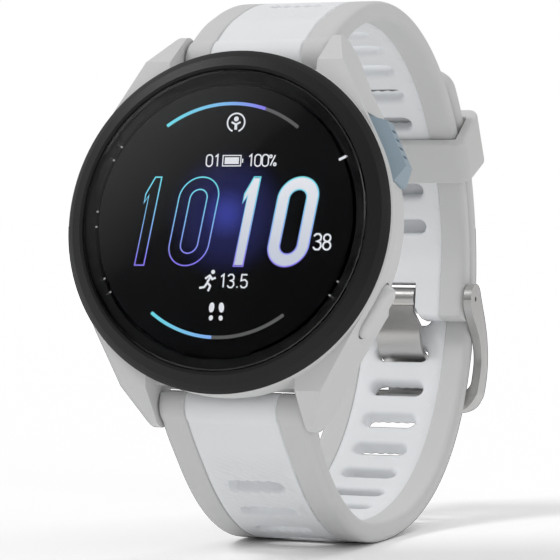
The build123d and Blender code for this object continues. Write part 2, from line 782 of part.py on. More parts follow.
def main():
    os.makedirs("parts", exist_ok=True)
    case_nodes = {
        "case_body": case_body, "bezel": bezel, "lens": lens, "lens_gasket": lens_gasket,
        "display_module": display_module, "inner_chassis": inner_chassis,
        "antenna_ring": antenna_ring, "battery": battery, "battery_lead": battery_lead,
        "main_board": main_board, "shield_cans": shield_cans, "chips": chips,
        "vibration_motor": vibration_motor, "beeper": beeper, "barometer": barometer,
        "tact_switches": tact_switches, "switch_domes": switch_domes,
        "rear_cover": rear_cover, "rear_seal": rear_seal, "rear_screws": rear_screws,
        "charge_contacts": charge_contacts, "sensor_window": sensor_window,
        "sensor_board": sensor_board, "sensor_leds": sensor_leds,
        "photodiodes": photodiodes, "sensor_baffle": sensor_baffle,
    }
    for name, make in case_nodes.items():
        write(name, placed(make()))
    for name in BUTTON_ANGLES:
        write(f"{name}_button", placed(button(name)))
        write(f"{name}_button_seal", placed(button_seal(name)))
        write(f"{name}_button_clip", placed(button_clip(name)))
    core, border = long_parts()
    write("long_strap_core", core)
    write("long_strap_border", border)
    core, border = short_parts()
    write("short_strap_core", core)
    write("short_strap_border", border)
    for label, side in (("upper", 1), ("lower", -1)):
        write(f"{label}_bar_barrel", bar_barrel(side))
        write(f"{label}_bar_fixed_tip", fixed_tip(side))
        write(f"{label}_bar_release", release_lever(side))
        write(f"{label}_bar_spring", bar_spring(side))
    write("buckle_pin", buckle_pin())
    write("buckle_frame", buckle_frame())
    write("buckle_tongue", buckle_tongue())
    write("keeper", keeper())


main()
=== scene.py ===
import json
from math import atan2, cos, degrees, hypot, pi, radians, sin

import bmesh
import bpy
import numpy as np
from mathutils import Matrix, Vector


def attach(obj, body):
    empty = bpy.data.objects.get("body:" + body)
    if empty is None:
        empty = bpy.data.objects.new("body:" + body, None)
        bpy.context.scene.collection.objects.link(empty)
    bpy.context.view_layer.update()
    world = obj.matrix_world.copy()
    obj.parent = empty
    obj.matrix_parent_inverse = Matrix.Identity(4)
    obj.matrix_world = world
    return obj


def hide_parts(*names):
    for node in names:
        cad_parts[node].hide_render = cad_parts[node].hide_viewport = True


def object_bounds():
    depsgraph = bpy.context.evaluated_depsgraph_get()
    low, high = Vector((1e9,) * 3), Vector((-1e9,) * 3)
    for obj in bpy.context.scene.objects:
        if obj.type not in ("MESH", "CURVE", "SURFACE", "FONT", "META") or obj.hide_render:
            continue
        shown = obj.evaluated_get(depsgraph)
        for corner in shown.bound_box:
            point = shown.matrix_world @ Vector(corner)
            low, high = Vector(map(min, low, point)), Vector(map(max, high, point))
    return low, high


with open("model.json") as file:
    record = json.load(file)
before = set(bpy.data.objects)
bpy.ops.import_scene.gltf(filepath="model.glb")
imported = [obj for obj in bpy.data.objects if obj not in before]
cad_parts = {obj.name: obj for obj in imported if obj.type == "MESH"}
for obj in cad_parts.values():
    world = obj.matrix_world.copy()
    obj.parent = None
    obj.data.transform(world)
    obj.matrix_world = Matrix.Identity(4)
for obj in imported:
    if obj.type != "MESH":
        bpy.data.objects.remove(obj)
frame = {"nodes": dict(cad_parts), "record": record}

CAD_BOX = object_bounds()
MM = 0.001

# ---------------------------------------------------------------- sizes, in millimetres
LOOP_Y = -1.6
LOOP_Z = 35.6
LOOP_RADIUS = 34.3
TAIL_RADIUS = 37.25
BAND_HALF = 9.8
CORE_HALF = 6.2
HALF_THICK = 1.298            # a hair inside the CAD band
TUBE_RADIUS = 2.1
BAR_OUT = 22.4
BAR_DEPTH = -7.4
CASE_CENTRE = Vector((0, LOOP_Y - 31.0, LOOP_Z + 7.0))
LEAN = radians(10.75)
CASE_U = Vector((0, sin(LEAN), cos(LEAN)))
CASE_N = Vector((0, -cos(LEAN), sin(LEAN)))
SLOT_PITCH = 5.5
SLOT_HALF = 3.8
SLOT_CAP = 1.05
FIRST_LONG_SLOT = 231.5
LONG_SLOTS = 19
FIRST_SHORT_SLOT = 9.5
SHORT_SLOTS = 11
SHORT_END = -13.2
TAIL_TIP = 406.5
PIN_ANGLE = -8.0
LEVER_X = 5.6
RIB_PITCH = 0.72
RIB_DEPTH = 0.2
RIB_TURN = radians(30)
ACROSS = 48                  # segments across the core
ALONG = 24                   # segments along one slot's cell
FAR = 9.0                    # further from an edge than any rounding reaches
KEEPER_MIDDLE = 27.5         # angle round the loop, degrees
KEEPER_SPAN = 11.5
KEEPER_CLEAR = 0.25
KEEPER_WALLS = {"out": 2.2, "in": 1.3, "side": 1.5}
KEEPER_HOLE_CORNER = 0.2

# ---------------------------------------------------------------- camera and lights
CAMERA_AT = Vector((140.31, -362.52, 46.39))
CAMERA_FORWARD = Vector((-0.37411, 0.92687, -0.03086))
CAMERA_RIGHT = Vector((0.92737, 0.37431, 0))
FOCAL = 187.11               # for a sensor 36 mm wide
FLOOR_HALF = 3.0             # metres, as the places and sizes below
WORLD_FILL = 0.5             # the world's light on the watch; the camera sees it at 1.0
LIGHTS = (                   # name, place, size, power in watts
    ("key", (-0.55, -0.35, 0.75), 0.3, 3.0),
    ("fill", (0.75, -0.25, 0.4), 0.4, 0.5),
    ("back", (0.25, 0.6, 0.8), 0.5, 1.6),
)


def case_point(x, u, n):
    """A point of the case's own axes, in metres in the row frame."""
    return (CASE_CENTRE + Vector((x, 0, 0)) + CASE_U * u + CASE_N * n) * MM


# ---------------------------------------------------------------- materials
def new_material(name):
    material = bpy.data.materials.new(name)
    material.use_nodes = True
    return material, material.node_tree.nodes, material.node_tree.links


def textured(name, colour, rough=0.5, metal=0.0, grain=2500.0, bump=0.05, vary=0.04,
             stretch=(1, 1, 1), specular=0.5, sheen=0.0, coat=0.0):
    """Base colour and roughness that vary a little, with a fine bump, all from noise."""
    material, nodes, links = new_material(name)
    shader = nodes["Principled BSDF"]
    shader.inputs["Metallic"].default_value = metal
    shader.inputs["Specular IOR Level"].default_value = specular
    shader.inputs["Sheen Weight"].default_value = sheen
    shader.inputs["Coat Weight"].default_value = coat
    place = nodes.new("ShaderNodeTexCoord")
    scale = nodes.new("ShaderNodeMapping")
    scale.inputs["Scale"].default_value = stretch
    links.new(place.outputs["Object"], scale.inputs["Vector"])
    fine = nodes.new("ShaderNodeTexNoise")
    fine.inputs["Scale"].default_value = grain
    fine.inputs["Detail"].default_value = 4
    broad = nodes.new("ShaderNodeTexNoise")
    broad.inputs["Scale"].default_value = 90
    broad.inputs["Detail"].default_value = 3
    for texture in (fine, broad):
        links.new(scale.outputs["Vector"], texture.inputs["Vector"])
    ramp = nodes.new("ShaderNodeValToRGB")
    low = [max(0.0, c * (1 - vary)) for c in colour[:3]]
    high = [min(1.0, c * (1 + vary)) for c in colour[:3]]
    ramp.color_ramp.elements[0].position = 0.3
    ramp.color_ramp.elements[0].color = (*low, 1)
    ramp.color_ramp.elements[1].position = 0.7
    ramp.color_ramp.elements[1].color = (*high, 1)
    links.new(broad.outputs["Fac"], ramp.inputs["Fac"])
    links.new(ramp.outputs["Color"], shader.inputs["Base Color"])
    gloss = nodes.new("ShaderNodeMapRange")
    gloss.inputs["To Min"].default_value = max(0.02, rough - 0.06)
    gloss.inputs["To Max"].default_value = min(1.0, rough + 0.06)
    links.new(fine.outputs["Fac"], gloss.inputs["Value"])
    links.new(gloss.outputs["Result"], shader.inputs["Roughness"])
    relief = nodes.new("ShaderNodeBump")
    relief.inputs["Strength"].default_value = bump
    relief.inputs["Distance"].default_value = 0.0002
    links.new(fine.outputs["Fac"], relief.inputs["Height"])
    links.new(relief.outputs["Normal"], shader.inputs["Normal"])
    return material


def glass():
    material, nodes, links = new_material("lens glass")
    shader = nodes["Principled BSDF"]
    shader.inputs["Base Color"].default_value = (0.97, 0.98, 1.0, 1)
    shader.inputs["Transmission Weight"].default_value = 1.0
    shader.inputs["IOR"].default_value = 1.48
    noise = nodes.new("ShaderNodeTexNoise")
    noise.inputs["Scale"].default_value = 60
    smear = nodes.new("ShaderNodeMapRange")
    smear.inputs["To Min"].default_value = 0.0
    smear.inputs["To Max"].default_value = 0.03
    links.new(noise.outputs["Fac"], smear.inputs["Value"])
    links.new(smear.outputs["Result"], shader.inputs["Roughness"])
    return material


def display_panel():
    """Black panel with a blue glow in the middle."""
    material, nodes, links = new_material("display panel")
    shader = nodes["Principled BSDF"]
    shader.inputs["Base Color"].default_value = (0.004, 0.004, 0.005, 1)
    shader.inputs["Roughness"].default_value = 0.25
    shader.inputs["Emission Strength"].default_value = 1.0
    place = nodes.new("ShaderNodeTexCoord")
    away = nodes.new("ShaderNodeVectorMath")
    away.operation = "DISTANCE"
    away.inputs[1].default_value = case_point(0.3, 0.8, 0.38)
    links.new(place.outputs["Object"], away.inputs[0])
    span = nodes.new("ShaderNodeMapRange")
    span.inputs["From Max"].default_value = 0.0085
    links.new(away.outputs["Value"], span.inputs["Value"])
    ramp = nodes.new("ShaderNodeValToRGB")
    ramp.color_ramp.interpolation = "EASE"
    ramp.color_ramp.elements[0].color = (0.04, 0.05, 0.30, 1)
    ramp.color_ramp.elements[1].color = (0, 0, 0, 1)
    middle = ramp.color_ramp.elements.new(0.45)
    middle.color = (0.012, 0.013, 0.07, 1)
    links.new(span.outputs["Result"], ramp.inputs["Fac"])
    links.new(ramp.outputs["Color"], shader.inputs["Emission Color"])
    return material


def glow(name, stops, axis_from, axis_to, strength=1.0):
    """A lit colour that runs between two points of the dial."""
    material, nodes, links = new_material(name)
    shader = nodes["Principled BSDF"]
    shader.inputs["Base Color"].default_value = (0.01, 0.01, 0.01, 1)
    shader.inputs["Roughness"].default_value = 0.4
    shader.inputs["Emission Strength"].default_value = strength
    place = nodes.new("ShaderNodeTexCoord")
    start = case_point(*axis_from, 0.39)
    run = case_point(*axis_to, 0.39) - start
    shift = nodes.new("ShaderNodeVectorMath")
    shift.operation = "SUBTRACT"
    shift.inputs[1].default_value = start
    along = nodes.new("ShaderNodeVectorMath")
    along.operation = "DOT_PRODUCT"
    along.inputs[1].default_value = run / run.length_squared
    links.new(place.outputs["Object"], shift.inputs[0])
    links.new(shift.outputs["Vector"], along.inputs[0])
    ramp = nodes.new("ShaderNodeValToRGB")
    elements = ramp.color_ramp.elements
    elements[0].position, elements[0].color = stops[0][0], (*stops[0][1], 1)
    elements[1].position, elements[1].color = stops[-1][0], (*stops[-1][1], 1)
    for position, colour in stops[1:-1]:
        elements.new(position).color = (*colour, 1)
    links.new(along.outputs["Value"], ramp.inputs["Fac"])
    links.new(ramp.outputs["Color"], shader.inputs["Emission Color"])
    return material


CYAN = (0.16, 0.72, 0.80)
SKY = (0.22, 0.50, 0.85)
VIOLET = (0.26, 0.20, 0.85)
WHITE = (0.88, 0.89, 0.92)
GREY = (0.09, 0.09, 0.09)
PALE = (0.3, 0.3, 0.3)

BRUSHED = (1, 14, 14)
MATERIALS = {
    "case_polymer": textured("case polymer", (0.69, 0.695, 0.69), 0.48, bump=0.06, vary=0.015),
    "cover_polymer": textured("cover polymer", (0.60, 0.605, 0.60), 0.5, bump=0.08, vary=0.02),
    "bezel_black": textured("bezel", (0.012, 0.012, 0.013), 0.42, grain=4200, bump=0.15, vary=0.1,
                             specular=0.3),
    "lens_glass": glass(),
    "display_black": display_panel(),
    "seal_black": textured("seal", (0.02, 0.02, 0.02), 0.7),
    "chassis_polymer": textured("chassis", (0.1, 0.1, 0.11), 0.6, bump=0.1),
    "antenna_metal": textured("antenna", (0.7, 0.7, 0.72), 0.35, 1.0, stretch=BRUSHED),
    "battery_foil": textured("battery foil", (0.72, 0.73, 0.75), 0.4, 0.9, bump=0.2, vary=0.06),
    "flex_amber": textured("flex", (0.5, 0.26, 0.07), 0.4, vary=0.1),
    "board_green": textured("board", (0.03, 0.18, 0.09), 0.4, vary=0.15),
    "can_metal": textured("shield can", (0.62, 0.63, 0.64), 0.35, 1.0, stretch=BRUSHED),
    "chip_black": textured("chip", (0.03, 0.03, 0.035), 0.55, bump=0.1),
    "screw_steel": textured("screw steel", (0.55, 0.56, 0.57), 0.3, 1.0, stretch=BRUSHED),
    "contact_gold": textured("contact", (0.83, 0.62, 0.28), 0.25, 1.0),
    "sensor_glass": textured("sensor window", (0.012, 0.012, 0.014), 0.12, coat=1.0, bump=0.01),
    "led_green": textured("led", (0.35, 0.6, 0.3), 0.3),
    "silicone_white": textured("silicone core", (0.88, 0.895, 0.915), 0.58, grain=1800, bump=0.03,
                               vary=0.012, specular=0.4, sheen=0.05),
    "silicone_grey": textured("silicone border", (0.66, 0.665, 0.66), 0.6, grain=2200, bump=0.05,
                              vary=0.015, specular=0.4, sheen=0.05),
    "buckle_steel": textured("buckle steel", (0.60, 0.59, 0.58), 0.3, 1.0, grain=2600, bump=0.08,
                             vary=0.02, stretch=(0.25, 9, 9)),
    "bar_steel": textured("bar steel", (0.55, 0.55, 0.55), 0.3, 1.0, stretch=BRUSHED),
    "button_blue": textured("start button", (0.30, 0.39, 0.46), 0.4, bump=0.07, vary=0.03),
    "button_grey": textured("button", (0.69, 0.695, 0.69), 0.42, bump=0.05, vary=0.02),
}


def dress_nodes():
    slots = {part["node"]: part["material_slot"] for part in frame["record"]["subparts"]}
    for name, node in frame["nodes"].items():
        node.data.materials.clear()
        node.data.materials.append(MATERIALS[slots[name]])


# ---------------------------------------------------------------- the loop's shape
def ease(value):
    value = np.clip(value, 0.0, 1.0)
    return value * value * (3 - 2 * value)


def bar_place(side):
    point = CASE_CENTRE + CASE_U * (side * BAR_OUT) + CASE_N * BAR_DEPTH
    return point.y, point.z


def polar(side):
    y, z = bar_place(side)
    return degrees(atan2(z - LOOP_Z, y - LOOP_Y)) % 360, hypot(y - LOOP_Y, z - LOOP_Z)


UPPER_ANGLE, UPPER_RADIUS = polar(1)
LOWER_ANGLE, LOWER_RADIUS = polar(-1)


def long_radius(angle):
    near = LOWER_RADIUS + (LOOP_RADIUS - LOWER_RADIUS) * ease((angle - LOWER_ANGLE) / 52)
    return near + (TAIL_RADIUS - LOOP_RADIUS) * ease((angle - 268) / 62)


def short_radius(angle):
    drop = LOOP_RADIUS - UPPER_RADIUS
    return LOOP_RADIUS - drop * ease((angle - UPPER_ANGLE + 12) / 12)


class Strap:
    """One half of the strap: its middle line, its thickness and its two ends."""

    def __init__(self, radius_at, bar_angle, bar_radius, direction, end, pinned):
        self.radius_at = radius_at
        self.bar_angle = bar_angle
        self.bar_radius = bar_radius
        self.direction = direction          # 1 when angles grow away from the bar
        self.end = end
        self.pinned = pinned
        self.lug_end = bar_angle - direction * degrees(TUBE_RADIUS / bar_radius)

    def from_bar(self, angle):
        """Distance along the strap from the spring bar."""
        return self.direction * np.radians(angle - self.bar_angle) * self.bar_radius

    def half(self, angle):
        along = self.from_bar(angle)
        band = HALF_THICK + 0.55 * (1 - ease(np.abs(angle - self.bar_angle) / 16))
        tube = np.sqrt(np.maximum(TUBE_RADIUS ** 2 - along ** 2, 0))
        thick = np.where(along < 0, tube, np.maximum(band, tube))
        left = self.direction * np.radians(self.end - angle) * self.radius_at(angle)
        soft = 0.6
        inset = np.clip(1 - left / soft, 0, 1)
        return thick - soft * (1 - np.sqrt(1 - inset ** 2))

    def inside_extra(self, angle):
        return 0.55 * ease((4 - angle) / 8) if self.pinned else 0.0 * angle

    def place(self, angle, x, height):
        turn = np.radians(angle)
        radius = self.radius_at(angle) + height
        y = LOOP_Y + radius * np.cos(turn)
        z = LOOP_Z + radius * np.sin(turn)
        return np.stack([x + 0 * y, y, z], -1) * MM


LONG = Strap(long_radius, LOWER_ANGLE, LOWER_RADIUS, 1, TAIL_TIP, False)
SHORT = Strap(short_radius, UPPER_ANGLE, UPPER_RADIUS, -1, SHORT_END, True)


def slot_angles(strap, first, count):
    angles = [first]
    while len(angles) < count:
        angles.append(angles[-1] + degrees(SLOT_PITCH / strap.radius_at(angles[-1])))
    return angles


# ---------------------------------------------------------------- mesh building
class Sheets:
    """Collects grids of points and joins them into one closed mesh."""

    def __init__(self):
        self.points = []
        self.faces = []
        self.count = 0

    def grid(self, points, closed=False, flip=False):
        rows, cols = points.shape[:2]
        ids = np.arange(rows * cols).reshape(rows, cols) + self.count
        if closed:
            ids = np.concatenate([ids, ids[:, :1]], 1)
        quads = [ids[:-1, :-1], ids[:-1, 1:], ids[1:, 1:], ids[1:, :-1]]
        if flip:
            quads.reverse()
        self.faces.append(np.stack(quads, -1).reshape(-1, 4))
        self.points.append(points.reshape(-1, 3))
        self.count += rows * cols

    def mesh(self, name, smooth_limit=40):
        data = bpy.data.meshes.new(name)
        faces = np.concatenate(self.faces).tolist()
        data.from_pydata(np.concatenate(self.points).tolist(), [], faces)
        body = bmesh.new()
        body.from_mesh(data)
        bmesh.ops.remove_doubles(body, verts=body.verts, dist=2e-6)
        bmesh.ops.dissolve_degenerate(body, edges=body.edges, dist=1e-7)
        bmesh.ops.recalc_face_normals(body, faces=body.faces)
        for face in body.faces:
            face.smooth = True
        for edge in body.edges:
            if len(edge.link_faces) == 2 and edge.calc_face_angle(0) > radians(smooth_limit):
                edge.smooth = False
        body.to_mesh(data)
        body.free()
        piece = bpy.data.objects.new(name, data)
        bpy.context.scene.collection.objects.link(piece)
        return piece


def rib(strap, angle, x):
    """Depth of the fine diagonal ribs; they fade at the lug, left side, rails and tip."""
    along = strap.from_bar(angle)
    phase = (along - strap.direction * x * np.tan(RIB_TURN)) * cos(RIB_TURN) / RIB_PITCH
    wave = 0.5 - 0.5 * np.cos(2 * pi * phase)
    near_lug = ease((along - 4.0) / 4.5)
    side = ease((CORE_HALF - 0.35 - np.abs(x)) / 1.1) * (0.45 + 0.55 * ease((x + 5.8) / 3.5))
    tail = ease((strap.direction * (strap.end - angle) - 12) / 6)
    return RIB_DEPTH * wave * near_lug * side * tail


def round_over(distance, radius):
    inset = np.clip(1 - distance / radius, 0, 1)
    return radius * (1 - np.sqrt(1 - inset ** 2))


def core_heights(strap, angle, x, distance):
    """Outer and inner height of the core; distance is from the nearest slot's edge."""
    half = strap.half(angle)
    edge = CORE_HALF - np.abs(x)
    limit = 0.55 * half
    outer_drop = round_over(edge, 0.3) + round_over(distance, 0.32) + rib(strap, angle, x)
    inner_drop = round_over(edge, 0.2) + round_over(distance, 0.75)
    outer = half - np.minimum(outer_drop, limit)
    inner = -half - strap.inside_extra(angle) + np.minimum(inner_drop, limit)
    return outer, inner


def slot_loop(count_across, count_along):
    """Points round a slot, matched one to one with the points round its cell."""
    straight = SLOT_HALF - SLOT_CAP
    side = 2 * straight + SLOT_CAP * pi / 2

    def edge_point(t):
        t -= side / 2
        if abs(t) <= straight:
            return t, SLOT_CAP
        turn = (abs(t) - straight) / SLOT_CAP
        return (straight + SLOT_CAP * sin(turn)) * (1 if t > 0 else -1), SLOT_CAP * cos(turn)

    slot, cell = [], []
    for i in range(count_across):
        slot.append(edge_point(side * i / count_across))
        cell.append((-CORE_HALF + 2 * CORE_HALF * i / count_across, 1.0))
    for i in range(count_along):
        turn = pi / 4 - pi / 2 * i / count_along
        slot.append((straight + SLOT_CAP * cos(turn), SLOT_CAP * sin(turn)))
        cell.append((CORE_HALF, 1 - 2 * i / count_along))
    slot += [(-x, -s) for x, s in slot]
    cell += [(-x, -s) for x, s in cell]
    return np.array(slot), np.array(cell)


def slot_distance(x, along):
    straight = SLOT_HALF - SLOT_CAP
    over = np.maximum(np.abs(x) - straight, 0)
    return np.maximum(np.hypot(over, along) - SLOT_CAP, 0)


def core(name, strap, first_slot, slots, stop):
    """The pale core with its slots. stop is the angle where it ends, at the border or the tip."""
    sheets = Sheets()
    centres = sorted(slot_angles(strap, first_slot, slots))
    edges = [(a + b) / 2 for a, b in zip(centres, centres[1:])]
    first = centres[0] - (edges[0] - centres[0])
    last = centres[-1] + (centres[-1] - edges[-1])
    edges = [first, *edges, last]
    low, high = sorted((strap.lug_end, stop))
    across = np.linspace(-CORE_HALF, CORE_HALF, ACROSS + 1)
    sides = []

    def plain(start, end):
        if end - start < 1e-6:
            return
        rows = max(4, int((end - start) * 0.6 / 0.17))
        steps = np.linspace(0, 1, rows + 1)
        angles = start + (end - start) * steps
        if abs(start - strap.lug_end) < 1e-9 or abs(end - strap.lug_end) < 1e-9:
            bend = np.sin(steps * pi / 2) if end == strap.lug_end else 1 - np.cos(steps * pi / 2)
            angles = start + (end - start) * bend
        theta, x = np.meshgrid(angles, across, indexing="ij")
        outer, inner = core_heights(strap, theta, x, FAR + 0 * x)
        sheets.grid(strap.place(theta, x, outer))
        sheets.grid(strap.place(theta, x, inner), flip=True)
        sides.append(angles)

    plain(low, edges[0])
    slot, cell = slot_loop(ACROSS, ALONG)
    spread = np.concatenate([[0, 0.03, 0.07, 0.12, 0.18], np.linspace(0.26, 1, 9)])
    spread_in = np.array([0, 0.06, 0.14, 0.24, 0.36, 0.52, 0.75, 1])
    for centre, lower, upper in zip(centres, edges, edges[1:]):
        radius = float(strap.radius_at(centre))
        slot_theta = centre + np.degrees(slot[:, 1] / radius)
        cell_theta = np.where(cell[:, 1] > 0, centre + cell[:, 1] * (upper - centre),
                              centre + cell[:, 1] * (centre - lower))

        def rings(parts):
            t = parts[:, None]
            theta = slot_theta[None] * (1 - t) + cell_theta[None] * t
            x = slot[None, :, 0] * (1 - t) + cell[None, :, 0] * t
            distance = slot_distance(x, np.radians(theta - centre) * radius)
            distance[0] = 0
            return theta, x, core_heights(strap, theta, x, distance)

        theta, x, (outer, _) = rings(spread)
        sheets.grid(strap.place(theta, x, outer), closed=True)
        top = strap.place(theta[0], x[0], outer[0])
        theta, x, (_, inner) = rings(spread_in)
        sheets.grid(strap.place(theta, x, inner), closed=True, flip=True)
        bottom = strap.place(theta[0], x[0], inner[0])
        sheets.grid(np.stack([top * (1 - t) + bottom * t for t in (0, 0.33, 0.67, 1)]), closed=True)
        right = cell_theta[ACROSS:ACROSS + ALONG + 1]
        sides.append(np.sort(right))
    plain(edges[-1], high)
    line = np.unique(np.round(np.concatenate(sides), 9))
    for x_side in (-CORE_HALF, CORE_HALF):
        x = np.full_like(line, x_side)
        outer, inner = core_heights(strap, line, x, FAR + 0 * x)
        wall = [strap.place(line, x, outer * (1 - t) + inner * t) for t in (0, 0.5, 1)]
        sheets.grid(np.stack(wall), flip=x_side > 0)
    theta = np.full_like(across, stop)
    outer, inner = core_heights(strap, theta, across, FAR + 0 * across)
    wall = [strap.place(theta, across, outer * (1 - t) + inner * t) for t in (0, 0.5, 1)]
    sheets.grid(np.stack(wall))
    return sheets.mesh(name)


RAIL_X = np.array([6.2, 6.32, 6.5, 7.1, 7.8, 8.4, 8.8, 9.1, 9.35, 9.55, 9.7, 9.78, 9.8])
RAIL_ROUND = 0.85


def rail_heights(strap, angle, x):
    half = strap.half(angle)
    inner_edge = np.where(np.abs(x) < CORE_HALF - 1e-6, FAR, np.abs(x) - CORE_HALF)
    drop = round_over(BAND_HALF - np.abs(x), RAIL_ROUND)
    outer_drop = np.minimum(drop + round_over(inner_edge, 0.2), 0.7 * half)
    inner_drop = np.minimum(drop + round_over(inner_edge, 0.16), 0.7 * half)
    return half - outer_drop, -half - strap.inside_extra(angle) + inner_drop


def border(name, strap, wrap):
    """Two rails, joined beyond the angle wrap where the core ends (None leaves them apart)."""
    sheets = Sheets()
    bend = 1 - np.cos(np.linspace(0, pi / 2, 10))
    tube_stop = strap.bar_angle + strap.direction * 2.0
    tube = strap.lug_end + (tube_stop - strap.lug_end) * bend
    body_stop = wrap if wrap is not None else strap.end - strap.direction * 1.2
    steps = int(abs(body_stop - tube_stop) / 0.55)
    body = np.linspace(tube_stop, body_stop, steps)
    soft = np.sin(np.linspace(0, pi / 2, 16))
    tip = body_stop + (strap.end - body_stop) * soft
    rows = np.concatenate([tube, body[1:]])
    full = np.concatenate([rows, tip[1:]]) if wrap is None else rows

    def narrow(angle):
        if wrap is None:
            return 1 + 0 * angle
        t = np.clip((angle - wrap) / (strap.end - wrap), 0, 1)
        return 0.66 + 0.34 * np.sqrt(1 - t ** 2.4)

    for side in (-1, 1):
        theta, x = np.meshgrid(full, side * RAIL_X, indexing="ij")
        outer, inner = rail_heights(strap, theta, x)
        sheets.grid(strap.place(theta, x, outer))
        sheets.grid(strap.place(theta, x, inner), flip=True)
        for x_value in (side * RAIL_X[0], side * RAIL_X[-1]):
            line = np.full_like(full, x_value)
            outer, inner = rail_heights(strap, full, line)
            wall = [strap.place(full, line, outer * (1 - t) + inner * t) for t in (0, 0.5, 1)]
            sheets.grid(np.stack(wall))
        if wrap is None:
            line = side * RAIL_X
            theta = np.full_like(line, strap.end)
            outer, inner = rail_heights(strap, theta, line)
            wall = [strap.place(theta, line, outer * (1 - t) + inner * t) for t in (0, 0.5, 1)]
            sheets.grid(np.stack(wall))
    if wrap is not None:
        middle = np.linspace(-CORE_HALF, CORE_HALF, 25)[1:-1]
        whole = np.concatenate([-RAIL_X[::-1], middle, RAIL_X])
        theta, x = np.meshgrid(tip, whole, indexing="ij")
        outer, inner = rail_heights(strap, theta, x)
        spread = x * narrow(theta)
        sheets.grid(strap.place(theta, spread, outer))
        sheets.grid(strap.place(theta, spread, inner), flip=True)
        for index in (0, -1):
            line = spread[:, index]
            wall = [strap.place(tip, line, outer[:, index] * (1 - t) + inner[:, index] * t)
                    for t in (0, 0.5, 1)]
            sheets.grid(np.stack(wall))
        for row in (0, -1):
            keep = np.abs(whole) <= (CORE_HALF if row == 0 else BAND_HALF) + 1e-9
            wall = [strap.place(theta[row][keep], spread[row][keep],
                                outer[row][keep] * (1 - t) + inner[row][keep] * t)
                    for t in (0, 0.5, 1)]
            sheets.grid(np.stack(wall))
    return sheets.mesh(name)


def cut(piece, cutter):
    """Takes the cutter out of the piece for good."""
    change = piece.modifiers.new("cut", "BOOLEAN")
    change.operation = "DIFFERENCE"
    change.solver = "EXACT"
    change.object = cutter
    depsgraph = bpy.context.evaluated_depsgraph_get()
    result = bpy.data.meshes.new_from_object(piece.evaluated_get(depsgraph))
    piece.modifiers.clear()
    piece.data = result
    bpy.data.objects.remove(cutter)


def cylinder_tool(y, z, radius, x_from, x_to):
    body = bmesh.new()
    turn = Matrix.Rotation(pi / 2, 4, "Y")
    place = Matrix.Translation(Vector(((x_from + x_to) / 2, y, z)) * MM) @ turn
    bmesh.ops.create_cone(body, cap_ends=True, segments=48, radius1=radius * MM,
                          radius2=radius * MM, depth=(x_to - x_from) * MM, matrix=place)
    return tool(body)


def box_tool(matrix, size):
    body = bmesh.new()
    scale = Matrix.Diagonal((*(Vector(size) * MM), 1))
    bmesh.ops.create_cube(body, size=1, matrix=matrix @ scale)
    return tool(body)


def tool(body):
    data = bpy.data.meshes.new("tool")
    body.to_mesh(data)
    body.free()
    item = bpy.data.objects.new("tool", data)
    bpy.context.scene.collection.objects.link(item)
    return item


def lever_opening(side):
    y, z = bar_place(side)
    turn = atan2(LOOP_Z - z, LOOP_Y - y)
    spin = Matrix.Rotation(turn - pi / 2, 4, "X")
    place = Matrix.Translation(Vector((LEVER_X + 0.6, y, z)) * MM) @ spin
    place = place @ Matrix.Translation((0, 0, 1.8 * MM))
    return box_tool(place, (2.6, 1.2, 3.6))


def notch_tool():
    """The gap for the tongue in the short strap's end, with its flared mouth."""
    outline = [(-2.55, -2.1), (2.55, -2.1), (2.55, 1.4), (4.0, 3.6), (4.0, 7.0),
               (-4.0, 7.0), (-4.0, 3.6), (-2.55, 1.4)]
    turn = radians(PIN_ANGLE)
    out = Vector((0, cos(turn), sin(turn)))
    down = Vector((0, sin(turn), -cos(turn)))
    middle = Vector((0, LOOP_Y, LOOP_Z)) + out * LOOP_RADIUS
    body = bmesh.new()
    rings = []
    for height in (-5, 5):
        corners = [middle + Vector((x, 0, 0)) + down * s + out * height for x, s in outline]
        rings.append([body.verts.new(corner * MM) for corner in corners])
    body.faces.new(rings[0])
    body.faces.new(reversed(rings[1]))
    count = len(outline)
    for i in range(count):
        j = (i + 1) % count
        body.faces.new((rings[0][i], rings[1][i], rings[1][j], rings[0][j]))
    bmesh.ops.recalc_face_normals(body, faces=body.faces)
    return tool(body)


def finish_piece(piece, slot_name, body_name, *nodes):
    piece.data.materials.clear()
    piece.data.materials.append(MATERIALS[slot_name])
    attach(piece, body_name)
    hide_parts(*nodes)


def straps():
    long_core = core("long_core", LONG, FIRST_LONG_SLOT, LONG_SLOTS, TAIL_TIP - 5)
    short_core = core("short_core", SHORT, FIRST_SHORT_SLOT, SHORT_SLOTS, SHORT_END)
    long_border = border("long_border", LONG, TAIL_TIP - 5)
    short_border = border("short_border", SHORT, None)
    for side, pieces in ((-1, (long_core, long_border)), (1, (short_core, short_border))):
        y, z = bar_place(side)
        for piece in pieces:
            cut(piece, cylinder_tool(y, z, 0.8, -12, 12))
            cut(piece, lever_opening(side))
    cut(short_core, notch_tool())
    finish_piece(long_core, "silicone_white", "strap_loop", "long_strap_core")
    finish_piece(short_core, "silicone_white", "strap_loop", "short_strap_core")
    finish_piece(long_border, "silicone_grey", "strap_loop", "long_strap_border")
    finish_piece(short_border, "silicone_grey", "strap_loop", "short_strap_border")


